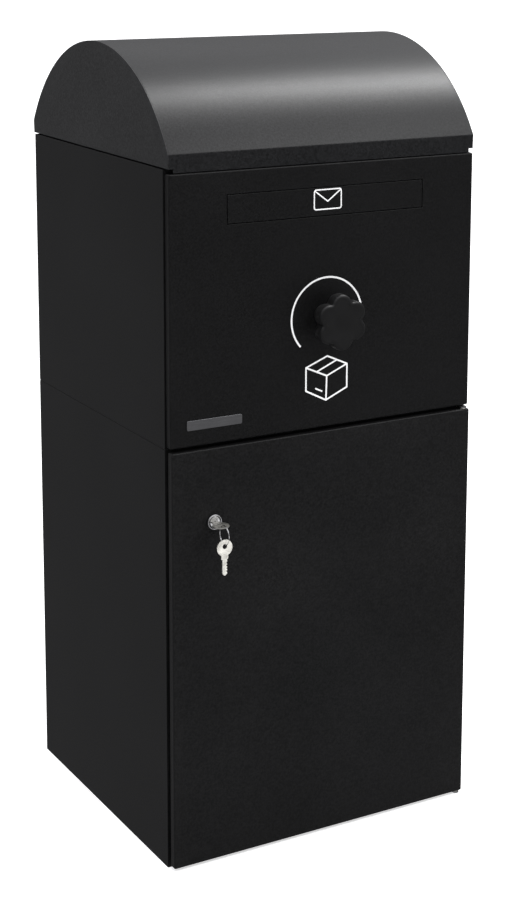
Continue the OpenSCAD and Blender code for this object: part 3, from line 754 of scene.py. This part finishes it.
def lathe_y(bm, x, z, profile):
    """A closed ring-shaped solid about the y line through (x, z), from (radius, y) corners."""
    rings = [circle_at(x, z, radius, y) for radius, y in profile]
    rows = [[bm.verts.new(p) for p in ring] for ring in rings]
    n = len(rings[0])
    for a, b in zip(rows, rows[1:] + rows[:1]):
        for i in range(n):
            j = (i + 1) % n
            bm.faces.new((a[i], a[j], b[j], b[i]))


def make_lock():
    lo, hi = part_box("lock_housing")
    x, z = (lo.x + hi.x) / 2, (lo.z + hi.z) / 2
    make_lock_housing(x, z, lo.y, hi.y)
    make_lock_plug(x, z, lo.y)


def make_lock_housing(x, z, face, rear):
    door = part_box("door_pan")[0].y
    front_rim = ((8.62, 1.3), (8.9, 0.7), (9.3, 0.3), (9.8, 0.08), (10.2, 0.0), (10.7, 0.25),
                 (11.1, 0.75))
    profile = [(radius * MM, face + depth * MM) for radius, depth in front_rim]
    profile += [(LOCK_HEAD_R, face + 1.5 * MM), (LOCK_HEAD_R, door - 0.5 * MM),
                (LOCK_HEAD_R - 0.2 * MM, door), (LOCK_SHANK_R, door),
                (LOCK_SHANK_R, rear - 0.5 * MM), (LOCK_SHANK_R - 0.4 * MM, rear),
                (PLUG_R + 0.06 * MM, rear)]
    bm = bmesh.new()
    lathe_y(bm, x, z, profile)
    housing = mesh_object("lock_housing_look", bm, MATERIALS["lock_chrome"])
    shade(housing, 38)
    settle(housing, "door", "lock_chrome", "lock_housing")


def make_lock_plug(x, z, face):
    """The round plug with its keyway, and the square tail that carries the cam."""
    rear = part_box("lock_plug")[1].y
    round_end = rear - 3 * MM
    tail_half = 3.5 * MM
    key_half_w, key_half_h, key_depth = 3.85 * MM, 1.1 * MM, 24 * MM
    rings = [circle_at(x, z, radius * MM, face + depth * MM) for radius, depth in PLUG_RIM]
    rings.append(circle_at(x, z, PLUG_R, round_end))
    bm = bmesh.new()
    rows = loft(bm, rings)
    bm.faces.new(list(reversed(rows[0])))
    bm.faces.new(rows[-1])
    plug = mesh_object("lock_plug_look", bm, MATERIALS["lock_chrome"])
    keyway = block("keyway", x - key_half_w, x + key_half_w, face - MM, face + key_depth,
                   z - key_half_h, z + key_half_h)
    tail = block("plug_tail", x - tail_half, x + tail_half, round_end - 2 * MM, rear,
                 z - tail_half, z + tail_half)
    cut(plug, keyway)
    join_solid(plug, tail)
    bake_modifiers(plug)
    discard(keyway, tail)
    shade(plug, 38)
    plug.data.materials.clear()
    plug.data.materials.append(MATERIALS["lock_chrome"])
    settle(plug, "lock", "lock_chrome", "lock_plug")


def make_split_ring():
    """Two close turns of wire, with a small step where the ends lie."""
    lo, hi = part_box("key_ring")
    x, y, z = ((a + b) / 2 for a, b in zip(lo, hi))
    cad_wire_r = 0.75 * MM
    wire_r = 0.4 * MM
    side_step = 0.36 * MM
    mean_r = (hi.z - lo.z) / 2 - cad_wire_r
    turns, steps = 1.94, 220
    start = math.radians(215)
    curve = bpy.data.curves.new("key_ring_look", "CURVE")
    curve.dimensions = "3D"
    curve.bevel_depth = wire_r
    curve.bevel_resolution = 4
    curve.use_fill_caps = True
    line = curve.splines.new("POLY")
    line.points.add(steps)
    for i in range(steps + 1):
        t = i / steps
        a = start + turns * 2 * math.pi * t
        side = side_step * (2 * min(1, max(0, (t - 0.42) / 0.16)) - 1)
        line.points[i].co = (x + side, y + mean_r * math.cos(a), z + mean_r * math.sin(a), 1)
    obj = bpy.data.objects.new("key_ring_look", curve)
    bpy.context.scene.collection.objects.link(obj)
    bpy.context.view_layer.update()
    mesh = bpy.data.meshes.new_from_object(
        obj.evaluated_get(bpy.context.evaluated_depsgraph_get()))
    bpy.data.objects.remove(obj)
    bpy.data.curves.remove(curve)
    mesh.materials.clear()
    mesh.materials.append(MATERIALS["ring_steel"])
    for face in mesh.polygons:
        face.use_smooth = True
    ring = bpy.data.objects.new("key_ring_look", mesh)
    bpy.context.scene.collection.objects.link(ring)
    settle(ring, "ring", "ring_steel", "key_ring")


# ---------- printed marks ----------

PRINT = 0.15 * MM           # how far the ink stands out
PRINT_SUNK = 0.05 * MM      # and how far it reaches into the sheet
MITRE_LIMIT = 0.35


def ribbon(name, points, width, y_face, thick, closed=False):
    """A flat printed line of even width through (x, z) points in millimetres, mitred."""
    pts = [Vector(p) for p in points]
    n = len(pts)
    along = [(pts[(i + 1) % n] - p).normalized() for i, p in enumerate(pts)]
    left, right = [], []
    for i, p in enumerate(pts):
        d0 = along[i - 1] if closed or i > 0 else along[0]
        d1 = along[i] if closed or i < n - 1 else along[i - 1]
        n0, n1 = Vector((-d0.y, d0.x)), Vector((-d1.y, d1.x))
        m = (n0 + n1).normalized()
        k = width / 2 / max(MITRE_LIMIT, m.dot(n0))
        left.append(p + m * k)
        right.append(p - m * k)
    bm = bmesh.new()
    y0, y1 = y_face - thick, y_face + PRINT_SUNK
    rows = []
    for line in (left, right):
        rows.append([(bm.verts.new((q.x * MM, y0, q.y * MM)),
                      bm.verts.new((q.x * MM, y1, q.y * MM))) for q in line])
    for i in range(n if closed else n - 1):
        j = (i + 1) % n
        (la, lb), (lc, ld) = rows[0][i], rows[0][j]
        (ra, rb), (rc, rd) = rows[1][i], rows[1][j]
        bm.faces.new((la, lc, rc, ra))
        bm.faces.new((lb, rb, rd, ld))
        bm.faces.new((la, lb, ld, lc))
        bm.faces.new((ra, rc, rd, rb))
    if not closed:
        for i in (0, n - 1):
            (la, lb), (ra, rb) = rows[0][i], rows[1][i]
            bm.faces.new((la, ra, rb, lb))
    return mesh_object(name, bm, INK)


def rounded_rect(x0, x1, z0, z1, r):
    steps = 6
    out = []
    for cx, cz, a in ((x1 - r, z1 - r, 0), (x0 + r, z1 - r, 90), (x0 + r, z0 + r, 180),
                      (x1 - r, z0 + r, 270)):
        for i in range(steps + 1):
            t = math.radians(a + 90 * i / steps)
            out.append((cx + r * math.cos(t), cz + r * math.sin(t)))
    return out


def union_marks(name, parts, body):
    first, rest = parts[0], parts[1:]
    for other in rest:
        join_solid(first, other)
    bake_modifiers(first)
    discard(*rest)
    first.name = name
    settle(first, body, "front_black")


def make_marks():
    """The turning arc round the knob, the parcel under it and the envelope on the letter flap.
    Lines of one mark differ a little in thickness, so that no faces coincide in the union."""
    make_turn_arc()
    make_parcel_mark()
    make_envelope_mark()


def make_turn_arc():
    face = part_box("front_panel")[0].y
    radius, stroke = 58, 2.7
    start, sweep, steps = -138, -210.5, 72
    turns = [math.radians(start + sweep * i / steps) for i in range(steps + 1)]
    arc = [(radius * math.cos(a), SHAFT_Z / MM + radius * math.sin(a)) for a in turns]
    settle(ribbon("mark_turn_arc", arc, stroke, face, PRINT), "cabinet", "front_black")


def make_parcel_mark():
    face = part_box("front_panel")[0].y
    stroke = 2.4
    outline = ((1, 727), (34, 712), (34, 677.5), (-1, 662.5), (-34, 679.5), (-34, 713.5))
    union_marks("mark_parcel_box", [
        ribbon("mark_box", outline, stroke, face, PRINT, closed=True),
        ribbon("mark_a", ((-34, 713.5), (0.3, 698), (34, 712)), stroke, face, 0.16 * MM),
        ribbon("mark_b", ((0.3, 699), (-0.8, 662.5)), stroke, face, 0.17 * MM),
        ribbon("mark_c", ((17.3, 719.8), (-16.8, 705.5)), stroke, face, 0.18 * MM),
        ribbon("mark_d", ((-18.5, 681.5), (-7.0, 676.0)), stroke * 0.95, face, 0.14 * MM),
    ], "cabinet")


def make_envelope_mark():
    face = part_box("letter_flap")[0].y
    stroke = 1.8
    union_marks("mark_envelope", [
        ribbon("mark_env", rounded_rect(-22, 22, 940, 968, 3.2), stroke, face, PRINT,
               closed=True),
        ribbon("mark_v", ((-21, 966.6), (0, 951), (21, 966.6)), stroke, face, 0.16 * MM),
    ], "letter_flap")


def make_badge():
    """A blank satin nameplate where the photograph has the maker's printed mark."""
    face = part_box("front_panel")[0].y
    bm = bmesh.new()
    outline = [(x * MM, z * MM) for x, z in rounded_rect(-223, -137, 646.5, 660.5, 2.5)]
    extrude_outline(bm, outline, face - 0.7 * MM, face + 0.1 * MM)
    plate = mesh_object("blank_badge", bm, BADGE)
    edge_bevel(plate, 0.3 * MM, 3, 50)
    bake_modifiers(plate)
    shade(plate, 40)
    settle(plate, "cabinet", "front_black")


# ---------- build ----------

def main():
    make_camera()
    make_world()
    make_floor()
    bpy.context.scene.view_settings.view_transform = "Standard"
    paint_cad_nodes()
    make_pans()
    make_hood()
    make_knob()
    make_lock()
    make_split_ring()
    make_marks()
    make_badge()
    make_side_walls()
    softened("letter_flap", 0.7 * MM, "front_black", "letter_flap")
    softened("key", 0.2 * MM, "key_nickel", "lock")
    softened("spare_key", 0.2 * MM, "key_nickel", "spare")
    make_lights()


main()
